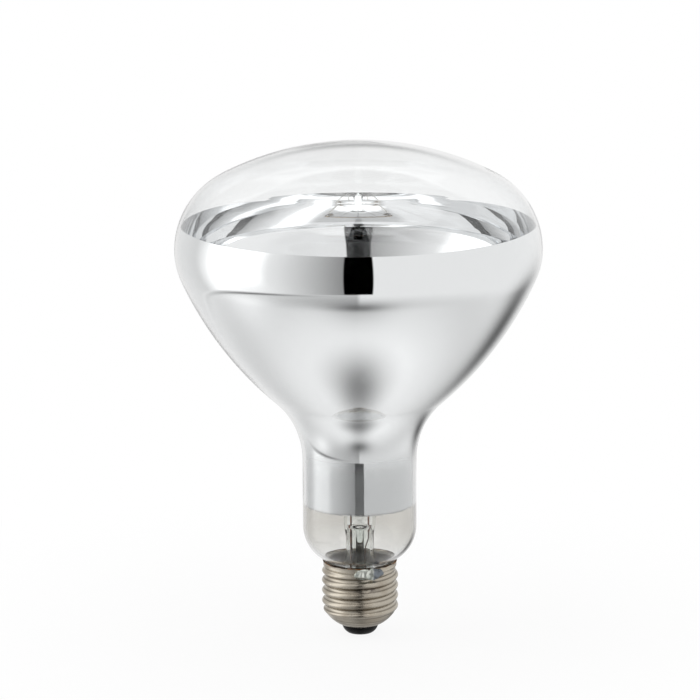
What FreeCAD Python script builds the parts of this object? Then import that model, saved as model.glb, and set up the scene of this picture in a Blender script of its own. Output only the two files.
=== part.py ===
import FreeCAD, Part
import math
import os

import Sketcher

# Infrared heat lamp bulb: a reflector bulb with a clear crown, a mirrored cone and an E27 screw cap.
# Millimetres. The origin is the tip of the centre contact, on the lamp's axis, and +Z runs to the crown.
# The front of the lamp, where the side contact is soldered, faces -Y.

V = FreeCAD.Vector
os.makedirs("parts", exist_ok=True)
doc = FreeCAD.newDocument("heat_lamp")

sizes = {
    # the blown glass bulb, outside, from the crown down
    "bulb_diameter": 125.0,
    "widest_height": 135.7,
    "crown_rise": 37.0,
    "crown_shoulder_radius": 27.4,
    "cone_shoulder_radius": 23.9,
    "cone_radius": 122.6,
    "throat_radius": 28.8,
    "throat_height": 61.9,
    "neck_diameter": 39.15,
    "neck_foot_height": 38.5,
    "neck_foot_radius": 13.0,
    "heel_radius": 2.5,
    "seal_diameter": 22.2,
    "seal_height": 19.8,
    "glass_wall": 1.0,
    # the reflecting film inside the cone
    "mirror_rim_rise": 8.9,
    "mirror_foot_height": 46.5,
    "mirror_film": 0.12,
    "mirror_gap": 0.05,
    # the screw cap: 25.4 / 7 is the pitch of an E27 thread
    "thread_major": 26.4,
    "thread_minor": 24.2,
    "thread_pitch": 3.629,
    "thread_run_in": 0.74,
    "thread_crest": 0.7,
    "thread_bevel": 0.3,
    "thread_foot_share": 0.3333,
    "thread_bite": 0.1,
    "shell_wall": 0.3,
    "cap_rim_height": 26.2,
    "cap_rim_diameter": 25.7,
    "cap_rim_flare": 0.8,
    "cap_band_diameter": 25.3,
    "cap_band_height": 2.5,
    "cap_hole_diameter": 13.0,
    "cap_hole_height": 3.3,
    "cap_taper_height": 4.7,
    "cap_taper_radius": 12.0,
    # the glass that insulates the centre contact
    "insulator_gap": 0.05,
    "insulator_neck_gap": 0.15,
    "insulator_foot_diameter": 8.9,
    "insulator_foot_height": 0.35,
    "insulator_foot_radius": 4.0,
    "insulator_dish": 1.4,
    "insulator_dish_diameter": 13.0,
    "insulator_bore": 2.9,
    # the centre contact and its solder
    "contact_diameter": 8.0,
    "contact_thickness": 0.3,
    "contact_gap": 0.15,
    "eyelet_diameter": 2.6,
    "eyelet_bore": 1.6,
    "eyelet_length": 2.6,
    "solder_rise": 0.2,
    "solder_diameter": 3.8,
    "solder_flat": 1.8,
    "solder_plug_length": 1.6,
    "solder_below_lead": 0.55,
    "solder_gap": 0.05,
    # the solder that joins the side lead to the rim of the cap
    "blob_width": 10.4,
    "blob_height": 4.4,
    "blob_depth": 3.8,
    "blob_sink": 0.5,
    "blob_drop": 1.95,
    "blob_azimuth": -76.0,
    # the cement between bulb and cap
    "cement_gap": 0.1,
    "cement_low": 17.0,
    "cement_top_drop": 0.5,
    # the stem: flare, press and exhaust tube
    "stem_diameter": 9.6,
    "stem_wall": 1.0,
    "flare_radius": 11.5,
    "flare_lip": 1.0,
    "press_low": 39.3,
    "press_high": 48.8,
    "press_width": 11.0,
    "press_depth": 4.5,
    "press_blend": 5.0,
    "stem_bore_end": 37.3,
    "exhaust_diameter": 4.0,
    "exhaust_wall": 0.7,
    "exhaust_tip_height": 12.8,
    "exhaust_tip_radius": 2.6,
    # wires
    "lead_to_bore_gap": 0.4,
    "seal_wire_diameter": 0.6,
    "seal_wire_gap": 0.05,
    "seal_wire_reach": 1.0,
    "centre_lead_diameter": 0.8,
    "side_lead_diameter": 0.4,
    "side_lead_azimuth": -55.0,
    "side_lead_straight": 2.5,
    "side_lead_tail": 1.5,
    "inner_lead_straight": 3.0,
    "lead_bend": 1.5,
    "rim_bend": 0.3,
    "longest_bend_share": 0.45,
    "lead_clearance": 1.0,
    "inner_lead_diameter": 0.9,
    "support_wire_diameter": 0.4,
    # the glass rod and its button
    "rod_diameter": 3.2,
    "button_height": 109.5,
    "button_length": 4.4,
    "button_diameter": 5.6,
    "button_corner": 1.0,
    "support_depth": 1.6,
    "support_gap": 0.05,
    "support_elbow": 4.2,
    "support_count": 5,
    "hook_gap": 0.1,
    "hook_wrap": 240.0,
    # the filament, drawn as the round of its coil
    "filament_height": 120.5,
    "filament_ring_diameter": 22.0,
    "filament_coil_diameter": 1.1,
    "filament_gap_angle": 85.0,
    "clamp_length": 2.4,
    "clamp_wall": 0.35,
    "clamp_gap": 0.12,
    "clamp_tab": 1.3,
    "clamp_tab_width": 1.0,
}

dims = doc.addObject("Spreadsheet::Sheet", "dims")
for row, (alias, number) in enumerate(sizes.items(), start=1):
    dims.set(f"A{row}", alias)
    dims.set(f"B{row}", str(number))
    dims.setAlias(f"B{row}", alias)
doc.recompute()


class Size:
    """A number together with the sheet formula that gives it, so that both are written once."""

    def __init__(self, number, formula=None):
        self.number = float(number)
        self.formula = formula or repr(float(number))

    def joined(self, other, sign, answer):
        return Size(answer, f"({self.formula} {sign} {sized(other).formula})")

    def __add__(self, other):
        return self.joined(other, "+", self.number + sized(other).number)

    def __sub__(self, other):
        return self.joined(other, "-", self.number - sized(other).number)

    def __mul__(self, other):
        return self.joined(other, "*", self.number * sized(other).number)

    def __truediv__(self, other):
        return self.joined(other, "/", self.number / sized(other).number)

    def __radd__(self, other):
        return sized(other) + self

    def __rsub__(self, other):
        return sized(other) - self

    def __rmul__(self, other):
        return sized(other) * self

    def __float__(self):
        return self.number


def sized(value):
    return value if isinstance(value, Size) else Size(value)


def size(alias):
    return Size(dims.get(alias), f"dims.{alias}")


def root(value):
    return Size(math.sqrt(value.number), f"sqrt({value.formula})")


subparts = []


def subpart(kind, label):
    """A new sub-part of the lamp. Its label names its file."""
    made = doc.addObject(kind, label)
    made.Label = label
    subparts.append(made)
    return made


def origin_part(body, role):
    for feature in body.Origin.OriginFeatures:
        if feature.Role == role:
            return feature
    raise ValueError(f"no {role} in {body.Label}")


def new_sketch(body, name, role="XZ_Plane", offset=None):
    sketch = body.newObject("Sketcher::SketchObject", name)
    sketch.AttachmentSupport = [(origin_part(body, role), "")]
    sketch.MapMode = "FlatFace"
    if offset is not None:
        sketch.AttachmentOffset = FreeCAD.Placement(V(0, 0, float(offset)), FreeCAD.Rotation())
        sketch.setExpression("AttachmentOffset.Base.z", offset.formula)
    return sketch


def bind(sketch, constraint, value):
    """Adds a dimension to a sketch and ties it to the sheet."""
    index = sketch.addConstraint(constraint)
    sketch.setExpression(f"Constraints[{index}]", sized(value).formula)


def place_point(sketch, geometry, point, across, up):
    """Sets a point's distances from the sketch's two axes."""
    across, up = sized(across), sized(up)
    if across.number == 0:
        sketch.addConstraint(Sketcher.Constraint("PointOnObject", geometry, point, -2))
    else:
        rule = Sketcher.Constraint("DistanceX", -1, 1, geometry, point, across.number)
        bind(sketch, rule, across)
    if up.number == 0:
        sketch.addConstraint(Sketcher.Constraint("PointOnObject", geometry, point, -1))
    else:
        rule = Sketcher.Constraint("DistanceY", -1, 1, geometry, point, up.number)
        bind(sketch, rule, up)


def arc_between(start, end, radius, left):
    """The arc from start to end whose centre lies left or right of the walk, as geometry and ends."""
    chord = end - start
    half = chord.Length / 2
    rise = math.sqrt(max(radius * radius - half * half, 0.0))
    normal = V(-chord.y, chord.x, 0).normalize()
    centre = start + chord * 0.5 + normal * (rise if left else -rise)
    first = math.atan2(start.y - centre.y, start.x - centre.x)
    last = math.atan2(end.y - centre.y, end.x - centre.x)
    circle = Part.Circle(centre, V(0, 0, 1), radius)
    if left:
        if last < first:
            last += 2 * math.pi
        return Part.ArcOfCircle(circle, first, last), 1, 2
    if first < last:
        first += 2 * math.pi
    return Part.ArcOfCircle(circle, last, first), 2, 1


def outline(sketch, corners):
    """Closed outline through corners (across, up), or (across, up, radius, side) after an arc."""
    ends = []
    count = len(corners)
    for index in range(count):
        here = corners[index]
        ahead = corners[(index + 1) % count]
        start = V(float(here[0]), float(here[1]), 0)
        end = V(float(ahead[0]), float(ahead[1]), 0)
        if len(ahead) == 2:
            ends.append((sketch.addGeometry(Part.LineSegment(start, end), False), 1, 2))
            continue
        arc, first, last = arc_between(start, end, float(ahead[2]), ahead[3] == "left")
        ends.append((sketch.addGeometry(arc, False), first, last))
    for index in range(count):
        geometry, first, last = ends[index]
        following = ends[(index + 1) % count]
        joint = Sketcher.Constraint("Coincident", geometry, last, following[0], following[1])
        sketch.addConstraint(joint)
        place_point(sketch, geometry, first, corners[index][0], corners[index][1])
        ahead = corners[(index + 1) % count]
        if len(ahead) == 4:
            rule = Sketcher.Constraint("Radius", geometry, float(ahead[2]))
            bind(sketch, rule, ahead[2])
    return sketch


def circle_in(sketch, across, up, radius):
    middle = V(float(across), float(up), 0)
    ring = sketch.addGeometry(Part.Circle(middle, V(0, 0, 1), float(radius)), False)
    place_point(sketch, ring, 3, across, up)
    bind(sketch, Sketcher.Constraint("Radius", ring, float(radius)), radius)


def revolve(body, sketch, kind="PartDesign::Revolution", name="Turned"):
    turned = body.newObject(kind, name)
    turned.Profile = sketch
    turned.ReferenceAxis = (sketch, ["V_Axis"])
    turned.Angle = 360
    body.Tip = turned


def turned_body(label, corners):
    """A sub-part that is one revolved outline."""
    body = subpart("PartDesign::Body", label)
    revolve(body, outline(new_sketch(body, f"{label}_outline"), corners))
    return body


# The glass bulb and the film inside it follow one line, moved in by an offset

bulb_radius = size("bulb_diameter") / 2
neck_radius = size("neck_diameter") / 2
seal_radius = size("seal_diameter") / 2
widest = size("widest_height")
crown_height = widest + size("crown_rise")
throat_height = size("throat_height")
foot_height = size("neck_foot_height")
glass_wall = size("glass_wall")


class BulbLine:
    """The bulb's section at some depth below its outer face: centres, radii and tangent points."""

    def __init__(self, depth):
        self.crown_shoulder = size("crown_shoulder_radius") - depth
        self.cone_shoulder = size("cone_shoulder_radius") - depth
        self.cone = size("cone_radius") - depth
        self.throat = size("throat_radius") + depth
        self.foot = size("neck_foot_radius") - depth
        self.heel = size("heel_radius") + depth
        self.widest_across = bulb_radius - depth
        self.neck_across = neck_radius - depth
        self.seal_across = seal_radius - depth
        self.top = crown_height - depth
        self.find_crown()
        self.find_cone()
        self.find_foot()

    def find_crown(self):
        rise = self.top.number - widest.number
        shoulder = self.crown_shoulder.number
        reach = self.widest_across.number - shoulder
        crown = (reach**2 + rise**2 - shoulder**2) / (2 * (rise - shoulder))
        self.crown_centre = V(0, self.top.number - crown, 0)
        self.crown_radius = crown
        self.crown_shoulder_centre = V(reach, widest.number, 0)
        out = self.crown_shoulder_centre - self.crown_centre
        self.crown_meets = self.crown_centre + out * (crown / out.Length)

    def find_cone(self):
        """The cone's long arc touches the shoulder above from inside and the throat from outside."""
        above = V(self.widest_across.number - self.cone_shoulder.number, widest.number, 0)
        below = V(self.neck_across.number + self.throat.number, throat_height.number, 0)
        to_above = self.cone.number - self.cone_shoulder.number
        to_below = self.cone.number + self.throat.number
        line = below - above
        along = (to_above**2 - to_below**2 + line.Length**2) / (2 * line.Length)
        aside = math.sqrt(to_above**2 - along**2)
        unit = line * (1 / line.Length)
        self.cone_centre = above + unit * along + V(unit.y, -unit.x, 0) * aside
        self.cone_shoulder_centre = above
        self.throat_centre = below
        self.cone_top = self.cone_centre + (above - self.cone_centre) * (self.cone.number / to_above)
        self.cone_foot = self.cone_centre + (below - self.cone_centre) * (self.cone.number / to_below)

    def find_foot(self):
        """The rounded foot of the neck runs into the narrow seal tube by a small hollow heel."""
        self.foot_centre = V(self.neck_across.number - self.foot.number, foot_height.number, 0)
        across = self.seal_across.number + self.heel.number
        reach = self.foot.number + self.heel.number
        drop = math.sqrt(reach**2 - (across - self.foot_centre.x) ** 2)
        self.heel_centre = V(across, foot_height.number - drop, 0)
        out = self.heel_centre - self.foot_centre
        self.foot_meets = self.foot_centre + out * (self.foot.number / reach)


def arc_of(sketch, centre, radius, start, end):
    """Adds the arc about a centre that runs counterclockwise from start to end."""
    first = math.atan2(start.y - centre.y, start.x - centre.x)
    last = math.atan2(end.y - centre.y, end.x - centre.x)
    if last < first:
        last += 2 * math.pi
    arc = Part.ArcOfCircle(Part.Circle(centre, V(0, 0, 1), radius), first, last)
    return sketch.addGeometry(arc, False)


def join_tangent(sketch, one, one_end, other, other_end):
    sketch.addConstraint(Sketcher.Constraint("Tangent", one, one_end, other, other_end))


def bulb_side(sketch, line, low, rim=None):
    """Draws the bulb's line from low up to the crown, or up to a rim, and returns its two ends."""
    neck_top = V(line.neck_across.number, throat_height.number, 0)
    neck_low = V(line.neck_across.number, max(float(low), foot_height.number), 0)
    widest_point = V(line.widest_across.number, widest.number, 0)
    neck = sketch.addGeometry(Part.LineSegment(neck_low, neck_top), False)
    throat = arc_of(sketch, line.throat_centre, line.throat.number, line.cone_foot, neck_top)
    cone = arc_of(sketch, line.cone_centre, line.cone.number, line.cone_foot, line.cone_top)
    lower = arc_of(
        sketch, line.cone_shoulder_centre, line.cone_shoulder.number, line.cone_top, widest_point
    )
    join_tangent(sketch, neck, 2, throat, 2)
    join_tangent(sketch, throat, 1, cone, 1)
    join_tangent(sketch, cone, 2, lower, 1)
    place_point(sketch, neck, 2, line.neck_across, throat_height)
    sketch.addConstraint(Sketcher.Constraint("Vertical", neck))
    for arc, radius in ((throat, line.throat), (cone, line.cone), (lower, line.cone_shoulder)):
        bind(sketch, Sketcher.Constraint("Radius", arc, radius.number), radius)
    place_point(sketch, lower, 2, line.widest_across, widest)
    sketch.addConstraint(Sketcher.Constraint("Horizontal", lower, 3, lower, 2))
    if rim is None:
        upper_end = line.crown_meets
    else:
        rise = float(rim) - widest.number
        reach = math.sqrt(line.crown_shoulder.number**2 - rise**2)
        upper_end = V(line.crown_shoulder_centre.x + reach, float(rim), 0)
    upper = arc_of(
        sketch, line.crown_shoulder_centre, line.crown_shoulder.number, widest_point, upper_end
    )
    join_tangent(sketch, lower, 2, upper, 1)
    bind(sketch, Sketcher.Constraint("Radius", upper, line.crown_shoulder.number), line.crown_shoulder)
    if rim is not None:
        rule = Sketcher.Constraint("DistanceY", -1, 1, upper, 2, float(rim))
        bind(sketch, rule, rim)
        rule = Sketcher.Constraint("DistanceY", -1, 1, neck, 1, float(low))
        bind(sketch, rule, low)
        return (neck, 1), (upper, 2)
    top_point = V(0, line.top.number, 0)
    crown = arc_of(sketch, line.crown_centre, line.crown_radius, line.crown_meets, top_point)
    join_tangent(sketch, upper, 2, crown, 1)
    sketch.addConstraint(Sketcher.Constraint("PointOnObject", crown, 3, -2))
    place_point(sketch, crown, 2, 0, line.top)
    foot = arc_of(sketch, line.foot_centre, line.foot.number, line.foot_meets, neck_low)
    heel_end = V(line.seal_across.number, line.heel_centre.y, 0)
    heel = arc_of(sketch, line.heel_centre, line.heel.number, line.foot_meets, heel_end)
    seal_end = V(line.seal_across.number, float(low), 0)
    seal = sketch.addGeometry(Part.LineSegment(seal_end, heel_end), False)
    join_tangent(sketch, neck, 1, foot, 2)
    join_tangent(sketch, foot, 1, heel, 1)
    join_tangent(sketch, heel, 2, seal, 2)
    bind(sketch, Sketcher.Constraint("DistanceY", -1, 1, neck, 1, foot_height.number), foot_height)
    bind(sketch, Sketcher.Constraint("Radius", foot, line.foot.number), line.foot)
    bind(sketch, Sketcher.Constraint("Radius", heel, line.heel.number), line.heel)
    sketch.addConstraint(Sketcher.Constraint("Vertical", seal))
    place_point(sketch, seal, 1, line.seal_across, low)
    return (seal, 1), (crown, 2)


def close_ends(sketch, one, other, one_point, other_point):
    """Joins the end of an outer line to the end of an inner one by a short straight edge."""
    edge = sketch.addGeometry(Part.LineSegment(one_point, other_point), False)
    sketch.addConstraint(Sketcher.Constraint("Coincident", edge, 1, one[0], one[1]))
    sketch.addConstraint(Sketcher.Constraint("Coincident", edge, 2, other[0], other[1]))


def bulb_wall(label, outer_depth, inner_depth, low, rim=None):
    """A revolved wall between two depths of the bulb's line."""
    body = subpart("PartDesign::Body", label)
    sketch = new_sketch(body, f"{label}_section")
    outer_low, outer_high = bulb_side(sketch, BulbLine(outer_depth), low, rim)
    inner_low, inner_high = bulb_side(sketch, BulbLine(inner_depth), low, rim)
    for one, other in ((outer_low, inner_low), (outer_high, inner_high)):
        close_ends(sketch, one, other, sketch.getPoint(*one), sketch.getPoint(*other))
    revolve(body, sketch)


seal_height = size("seal_height")
bulb_wall("glass_envelope", Size(0), glass_wall, seal_height)

film_outside = glass_wall + size("mirror_gap")
mirror_rim = widest + size("mirror_rim_rise")
bulb_wall(
    "mirror_coating",
    film_outside,
    film_outside + size("mirror_film"),
    size("mirror_foot_height"),
    mirror_rim,
)

# The screw cap: a thin shell with a rolled right-hand thread

shell_wall = size("shell_wall")
root_radius = size("thread_minor") / 2
crest_radius = size("thread_major") / 2
band_radius = size("cap_band_diameter") / 2
rim_radius = size("cap_rim_diameter") / 2
hole_radius = size("cap_hole_diameter") / 2
rim_height = size("cap_rim_height")
rim_flare = size("cap_rim_flare")
band_low = rim_height - size("cap_band_height")
hole_height = size("cap_hole_height")
taper_top = hole_height + size("cap_taper_height")
taper_radius = size("cap_taper_radius")
pitch = size("thread_pitch")
thread_foot = pitch * size("thread_foot_share")
thread_start = taper_top + size("thread_run_in") + thread_foot
thread_end = band_low - thread_foot


def helix_on(body, kind, name, sketch):
    helix = body.newObject(kind, name)
    helix.Profile = sketch
    helix.ReferenceAxis = (sketch, ["V_Axis"])
    helix.Mode = "pitch-height-angle"
    helix.setExpression("Pitch", pitch.formula)
    helix.setExpression("Height", (thread_end - thread_start).formula)
    helix.Angle = 0
    helix.LeftHanded = False
    helix.Reversed = False
    body.Tip = helix


def screw_shell():
    body = subpart("PartDesign::Body", "screw_shell")
    wall = [
        (hole_radius, hole_height),
        (root_radius, taper_top, taper_radius, "left"),
        (root_radius, band_low),
        (band_radius, band_low + rim_flare),
        (band_radius, rim_height - rim_flare),
        (rim_radius, rim_height),
        (rim_radius - shell_wall, rim_height),
        (band_radius - shell_wall, rim_height - rim_flare),
        (band_radius - shell_wall, band_low + rim_flare),
        (root_radius - shell_wall, band_low),
        (root_radius - shell_wall, taper_top),
        (hole_radius, hole_height + shell_wall, taper_radius - shell_wall, "right"),
    ]
    revolve(body, outline(new_sketch(body, "shell_wall_section"), wall))
    # the thread is rolled, so the groove inside follows the ridge outside one wall away
    start, foot = thread_start, thread_foot
    crest = size("thread_crest") / 2
    bevel = size("thread_bevel")
    bite = size("thread_bite")
    ridge = [
        (root_radius - bite, start - foot),
        (root_radius, start - foot),
        (crest_radius - bevel, start - crest - bevel),
        (crest_radius, start - crest),
        (crest_radius, start + crest),
        (crest_radius - bevel, start + crest + bevel),
        (root_radius, start + foot),
        (root_radius - bite, start + foot),
    ]
    ridge_section = outline(new_sketch(body, "ridge_section"), ridge)
    helix_on(body, "PartDesign::AdditiveHelix", "Ridge", ridge_section)
    groove = [
        (root_radius - shell_wall - bite, start - foot + shell_wall),
        (root_radius - shell_wall, start - foot + shell_wall),
        (crest_radius - shell_wall, start - crest + bite),
        (crest_radius - shell_wall, start + crest - bite),
        (root_radius - shell_wall, start + foot - shell_wall),
        (root_radius - shell_wall - bite, start + foot - shell_wall),
    ]
    groove_section = outline(new_sketch(body, "groove_section"), groove)
    helix_on(body, "PartDesign::SubtractiveHelix", "Groove", groove_section)


screw_shell()

# The insulating glass in the foot of the cap, and the centre contact

contact_low = size("solder_rise")
contact_high = contact_low + size("contact_thickness")
contact_radius = size("contact_diameter") / 2
insulator_gap = size("insulator_gap")
insulator_bore = size("insulator_bore") / 2
insulator_neck = hole_radius - size("insulator_neck_gap")
flange_radius = taper_radius - shell_wall - insulator_gap
turned_body(
    "base_insulator",
    [
        (insulator_bore, contact_high),
        (contact_radius + size("contact_gap"), contact_high),
        (contact_radius + size("contact_gap"), size("insulator_foot_height")),
        (size("insulator_foot_diameter") / 2, size("insulator_foot_height")),
        (insulator_neck, hole_height, size("insulator_foot_radius"), "left"),
        (insulator_neck, hole_height + shell_wall + insulator_gap),
        (hole_radius, hole_height + shell_wall + insulator_gap),
        (root_radius - shell_wall - insulator_gap, taper_top, flange_radius, "left"),
        (size("insulator_dish_diameter") / 2, taper_top - size("insulator_dish")),
        (insulator_bore, taper_top - size("insulator_dish")),
    ],
)

eyelet_radius = size("eyelet_diameter") / 2
eyelet_bore = size("eyelet_bore") / 2
eyelet_top = contact_high + size("eyelet_length")
turned_body(
    "centre_contact",
    [
        (eyelet_bore, contact_low),
        (contact_radius, contact_low),
        (contact_radius, contact_high),
        (eyelet_radius, contact_high),
        (eyelet_radius, eyelet_top),
        (eyelet_bore, eyelet_top),
    ],
)

solder_gap = size("solder_gap")
centre_lead_radius = size("centre_lead_diameter") / 2
plug_radius = eyelet_bore - solder_gap
plug_top = contact_low + size("solder_plug_length")
lead_end = contact_low + size("solder_below_lead")
turned_body(
    "centre_solder",
    [
        (0, 0),
        (size("solder_flat") / 2, 0),
        (size("solder_diameter") / 2, contact_low, size("solder_diameter"), "left"),
        (plug_radius, contact_low),
        (plug_radius, plug_top),
        (centre_lead_radius + solder_gap, plug_top),
        (centre_lead_radius + solder_gap, lead_end - solder_gap),
        (0, lead_end - solder_gap),
    ],
)

# The stem: a flared tube, pressed flat round the two seal wires at its top

stem_radius = size("stem_diameter") / 2
stem_wall = size("stem_wall")
stem_bore = stem_radius - stem_wall
bore_end = size("stem_bore_end")
press_low = size("press_low")
press_high = size("press_high")
lip_low = seal_height - size("flare_lip")
flare_radius = size("flare_radius")
flare_across = seal_radius - glass_wall
blend_low = press_low - size("press_blend")


def flare_top(across_reach, radius):
    """Height that an arc needs to swing out by a reach from the upright."""
    return math.sqrt(radius**2 - (radius - across_reach) ** 2)


def flare_arc(sketch, across, radius, end_across, end_up, top):
    """The tube's upright side and the arc that flares out of it, drawn from the top down."""
    drop = flare_top(float(end_across) - float(across), float(radius))
    bend = V(float(across), float(end_up) + drop, 0)
    side = sketch.addGeometry(Part.LineSegment(V(float(across), float(top), 0), bend), False)
    centre = V(float(across) + float(radius), bend.y, 0)
    end = V(float(end_across), float(end_up), 0)
    flare = arc_of(sketch, centre, float(radius), bend, end)
    join_tangent(sketch, side, 2, flare, 1)
    sketch.addConstraint(Sketcher.Constraint("Vertical", side))
    bind(sketch, Sketcher.Constraint("Radius", flare, float(radius)), radius)
    place_point(sketch, side, 1, across, top)
    place_point(sketch, flare, 2, end_across, end_up)
    return side, flare


def edge_between(sketch, one, other):
    first = sketch.getPoint(*one)
    last = sketch.getPoint(*other)
    close_ends(sketch, one, other, first, last)


def glass_stem():
    body = subpart("PartDesign::Body", "glass_stem")
    sketch = new_sketch(body, "flare_section")
    side, flare = flare_arc(sketch, stem_radius, flare_radius, flare_across, seal_height, press_low)
    lip_top = V(float(seal_radius), float(seal_height), 0)
    lip_foot = V(float(seal_radius), float(lip_low), 0)
    lip = sketch.addGeometry(Part.LineSegment(lip_top, lip_foot), False)
    place_point(sketch, lip, 1, seal_radius, seal_height)
    place_point(sketch, lip, 2, seal_radius, lip_low)
    axis = sketch.addGeometry(
        Part.LineSegment(V(0, float(lip_low), 0), V(0, float(press_low), 0)), False
    )
    place_point(sketch, axis, 1, 0, lip_low)
    place_point(sketch, axis, 2, 0, press_low)
    edge_between(sketch, (flare, 2), (lip, 1))
    edge_between(sketch, (lip, 2), (axis, 1))
    edge_between(sketch, (axis, 2), (side, 1))
    revolve(body, sketch, name="Flare")
    blend = body.newObject("PartDesign::AdditiveLoft", "Shoulder")
    round_end = new_sketch(body, "tube_end", "XY_Plane", blend_low)
    circle_in(round_end, 0, 0, stem_radius)
    flat_end = new_sketch(body, "press_end", "XY_Plane", press_low)
    press_outline(flat_end)
    blend.Profile = round_end
    blend.Sections = [flat_end]
    body.Tip = blend
    press = body.newObject("PartDesign::Pad", "Press")
    press_sketch = new_sketch(body, "press_outline", "XY_Plane", press_low)
    press_outline(press_sketch)
    press.Profile = press_sketch
    press.setExpression("Length", (press_high - press_low).formula)
    body.Tip = press
    hollow = new_sketch(body, "bore_section")
    side, flare = flare_arc(
        hollow, stem_bore, flare_radius + stem_wall, flare_across, lip_low, bore_end
    )
    axis = hollow.addGeometry(
        Part.LineSegment(V(0, float(lip_low), 0), V(0, float(bore_end), 0)), False
    )
    place_point(hollow, axis, 1, 0, lip_low)
    place_point(hollow, axis, 2, 0, bore_end)
    edge_between(hollow, (flare, 2), (axis, 1))
    edge_between(hollow, (axis, 2), (side, 1))
    revolve(body, hollow, "PartDesign::Groove", "Bore")
    wires = new_sketch(body, "seal_wire_holes", "XY_Plane", press_high)
    for side_sign in (-1, 1):
        circle_in(wires, side_sign * seal_wire_across, 0, seal_wire_radius + size("seal_wire_gap"))
    holes = body.newObject("PartDesign::Pocket", "SealWireHoles")
    holes.Profile = wires
    holes.setExpression("Length", (press_high - bore_end).formula)
    body.Tip = holes


def slot_outline(sketch, left, right, round_end):
    """A flat slot with round ends centred at left and right on the sketch's first axis."""
    depth = float(round_end)
    arcs = []
    for middle, turn in ((right, -math.pi / 2), (left, math.pi / 2)):
        circle = Part.Circle(V(float(middle), 0, 0), V(0, 0, 1), depth)
        arcs.append(sketch.addGeometry(Part.ArcOfCircle(circle, turn, turn + math.pi), False))
    top = Part.LineSegment(V(float(right), depth, 0), V(float(left), depth, 0))
    foot = Part.LineSegment(V(float(left), -depth, 0), V(float(right), -depth, 0))
    top, foot = sketch.addGeometry(top, False), sketch.addGeometry(foot, False)
    join_tangent(sketch, arcs[0], 2, top, 1)
    join_tangent(sketch, top, 2, arcs[1], 1)
    join_tangent(sketch, arcs[1], 2, foot, 1)
    join_tangent(sketch, foot, 2, arcs[0], 1)
    place_point(sketch, arcs[0], 3, right, 0)
    place_point(sketch, arcs[1], 3, left, 0)
    bind(sketch, Sketcher.Constraint("Radius", arcs[0], depth), round_end)


def press_outline(sketch):
    round_end = size("press_depth") / 2
    straight = size("press_width") / 2 - round_end
    slot_outline(sketch, -1 * straight, straight, round_end)


seal_wire_across = stem_bore - centre_lead_radius - size("lead_to_bore_gap")
seal_wire_radius = size("seal_wire_diameter") / 2
glass_stem()

exhaust_radius = size("exhaust_diameter") / 2
exhaust_bore = exhaust_radius - size("exhaust_wall")
exhaust_low = size("exhaust_tip_height")
tip_radius = size("exhaust_tip_radius")
turned_body(
    "exhaust_tube",
    [
        (0, exhaust_low),
        (exhaust_radius, exhaust_low + exhaust_radius, tip_radius, "left"),
        (exhaust_radius, bore_end),
        (exhaust_bore, bore_end),
        (exhaust_bore, exhaust_low + exhaust_radius),
        (0, exhaust_low + exhaust_radius - exhaust_bore / 2),
    ],
)

# The glass rod that stands on the press, with the button that holds the support wires

rod_radius = size("rod_diameter") / 2
button_low = size("button_height")
button_high = button_low + size("button_length")
button_radius = size("button_diameter") / 2
button_corner = size("button_corner")
button_middle = (button_low + button_high) / 2
support_radius = size("support_wire_diameter") / 2
support_inner = button_radius - size("support_depth")
gap_angle = size("filament_gap_angle")
support_count = size("support_count")
support_step = (360 - gap_angle) / (support_count + 1)
first_support = -90 - support_step * (support_count - 1) / 2


def turn_to(part, azimuth):
    """Turns a sub-part that was drawn towards +X round the lamp's axis."""
    part.Placement = FreeCAD.Placement(V(0, 0, 0), FreeCAD.Rotation(V(0, 0, 1), float(azimuth)))
    part.setExpression("Placement.Rotation.Angle", azimuth.formula)


def arbor_rod():
    body = subpart("PartDesign::Body", "arbor_rod")
    section = [
        (0, press_high),
        (rod_radius, press_high),
        (rod_radius, button_low),
        (button_radius - button_corner, button_low),
        (button_radius, button_low + button_corner, button_corner, "left"),
        (button_radius, button_high - button_corner),
        (button_radius - button_corner, button_high, button_corner, "left"),
        (0, button_high),
    ]
    revolve(body, outline(new_sketch(body, "rod_section"), section))
    sockets = new_sketch(body, "socket_outline", "YZ_Plane", support_inner)
    circle_in(sockets, 0, button_middle, support_radius + size("support_gap"))
    socket = body.newObject("PartDesign::Pocket", "Socket")
    socket.Profile = sockets
    socket.Reversed = True
    socket.setExpression("Length", (button_radius + button_corner).formula)
    body.Tip = socket
    doc.recompute()
    ring = body.newObject("PartDesign::PolarPattern", "Sockets")
    ring.Originals = [socket]
    ring.Axis = (origin_part(body, "Z_Axis"), [""])
    ring.setExpression("Angle", (support_step * (support_count - 1)).formula)
    ring.setExpression("Occurrences", support_count.formula)
    body.Tip = ring
    turn_to(body, first_support)


arbor_rod()

# The cement that holds the bulb in the cap, with a channel for the side lead

side_lead_radius = size("side_lead_diameter") / 2
blob_azimuth = size("blob_azimuth")
cement_gap = size("cement_gap")
cement_low = size("cement_low")
cement_top = rim_height - size("cement_top_drop")
channel_across = (seal_radius + root_radius - shell_wall) / 2
rim_channel_across = band_radius - shell_wall - side_lead_radius - cement_gap
heel_across = seal_radius + size("heel_radius")
foot_across = neck_radius - size("neck_foot_radius")
foot_reach = size("neck_foot_radius") + size("heel_radius")
heel_run = heel_across - foot_across
heel_height = foot_height - root(foot_reach * foot_reach - heel_run * heel_run)
cement_heel = size("heel_radius") - cement_gap
cement_rise = cement_top - heel_height
cement_top_across = heel_across - root(cement_heel * cement_heel - cement_rise * cement_rise)


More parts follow.
